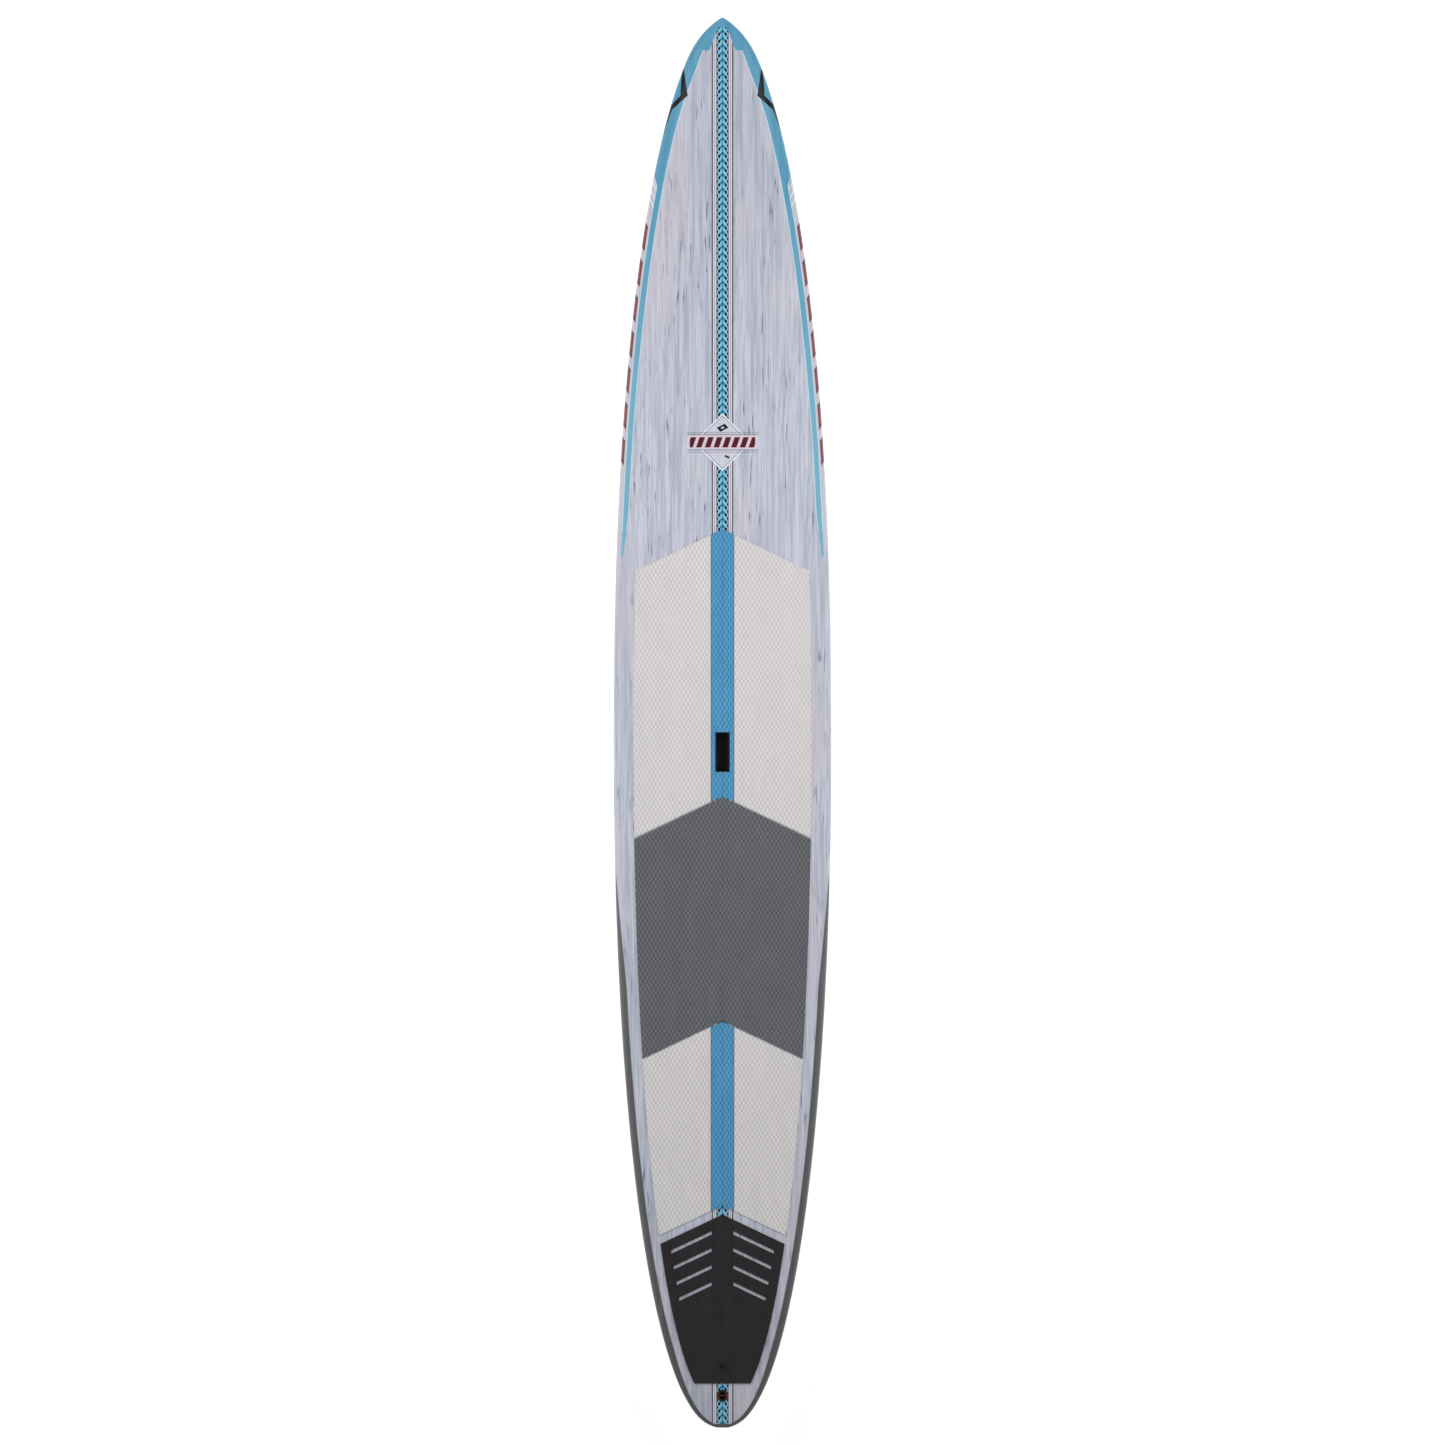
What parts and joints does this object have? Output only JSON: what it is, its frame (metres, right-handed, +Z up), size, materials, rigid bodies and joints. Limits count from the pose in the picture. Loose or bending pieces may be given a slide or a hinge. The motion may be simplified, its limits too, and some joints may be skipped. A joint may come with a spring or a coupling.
{
  "type": "stand up paddleboard",
  "caption": "Long narrow rigid touring board with foam deck pads, a recessed carry handle, leash plug, air vent and a sliding fin.",
  "frame": {"origin": "middle of the small flat on the bottom of the hull, half way along the board", "axes": "+Y to the nose, +X to the right of a paddler facing the nose, +Z up through the deck"},
  "size_m": [0.66, 4.267, 0.3587],
  "materials": {
    "deck_paint": "gloss clear coat over brushed white paint",
    "hull_paint": "gloss white paint",
    "rail_paint": "gloss grey, white and blue paint",
    "foam_core": "expanded polystyrene foam",
    "dense_foam": "closed cell structural foam",
    "wood": "sawn paulownia",
    "white_pad": "matte closed cell foam with a diamond groove",
    "blue_pad": "matte closed cell foam with a diamond groove",
    "grey_pad": "matte closed cell foam with a diamond groove",
    "dark_pad": "matte closed cell foam with a diamond groove",
    "black_plastic": "moulded black nylon",
    "fin_plastic": "polished fibre reinforced nylon",
    "stainless": "stainless steel",
    "brass": "turned brass",
    "seal_rubber": "soft rubber",
    "membrane": "breathing fabric disc"
  },
  "bodies": {
    "board": {"deck_skin": "deck_paint", "hull_skin": "hull_paint", "left_rail": "rail_paint", "right_rail": "rail_paint", "deck_panel": "dense_foam", "stringer": "wood", "foam_core_left": "foam_core", "foam_core_right": "foam_core", "front_pad_right": "white_pad", "front_pad_left": "white_pad", "rear_pad_right": "white_pad", "rear_pad_left": "white_pad", "front_strip": "blue_pad", "rear_strip": "blue_pad", "standing_pad": "grey_pad", "tail_pad": "dark_pad", "handle_cup": "black_plastic", "handle_block": "dense_foam", "leash_cup": "black_plastic", "leash_pin": "stainless", "leash_block": "dense_foam", "vent_housing": "black_plastic", "vent_membrane": "membrane", "fin_box": "black_plastic", "fin_box_block": "dense_foam"},
    "fin": {"fin": "fin_plastic", "fin_pin": "brass"},
    "fin_screw": {"fin_screw": "stainless"},
    "fin_nut_plate": {"fin_nut_plate": "brass"},
    "vent_ring": {"vent_ring": "seal_rubber"},
    "vent_screw": {"vent_screw": "black_plastic"}
  },
  "joints": [
    {"name": "fin_slide", "type": "slide", "parent": "board", "child": "fin", "axis": [0, 0.9977, -0.0683], "range_m": [-0.042, 0.042]},
    {"name": "fin_nut_plate_slide", "type": "slide", "parent": "fin", "child": "fin_nut_plate", "axis": [0, 0.0683, 0.9977], "range_m": [0, 0.0007]},
    {"name": "fin_screw_turn", "type": "hinge", "parent": "fin", "child": "fin_screw", "pos_m": [0, -1.6956, 0.0401], "axis": [0, -0.0683, -0.9977], "range_deg": [0, 360]},
    {"name": "vent_lift", "type": "slide", "parent": "board", "child": "vent_ring", "axis": [0, -0.065, 0.9979], "range_m": [0, 0.0045]},
    {"name": "vent_turn", "type": "hinge", "parent": "vent_ring", "child": "vent_screw", "pos_m": [0, -1.9495, 0.11728], "axis": [0, -0.065, 0.9979], "range_deg": [0, 1080]}
  ],
  "couplings": [
    {"joint": "fin_screw_turn", "follows": "fin_nut_plate_slide", "rad_per_m": 8976},
    {"joint": "vent_turn", "follows": "vent_lift", "rad_per_m": 4188.8}
  ]
}
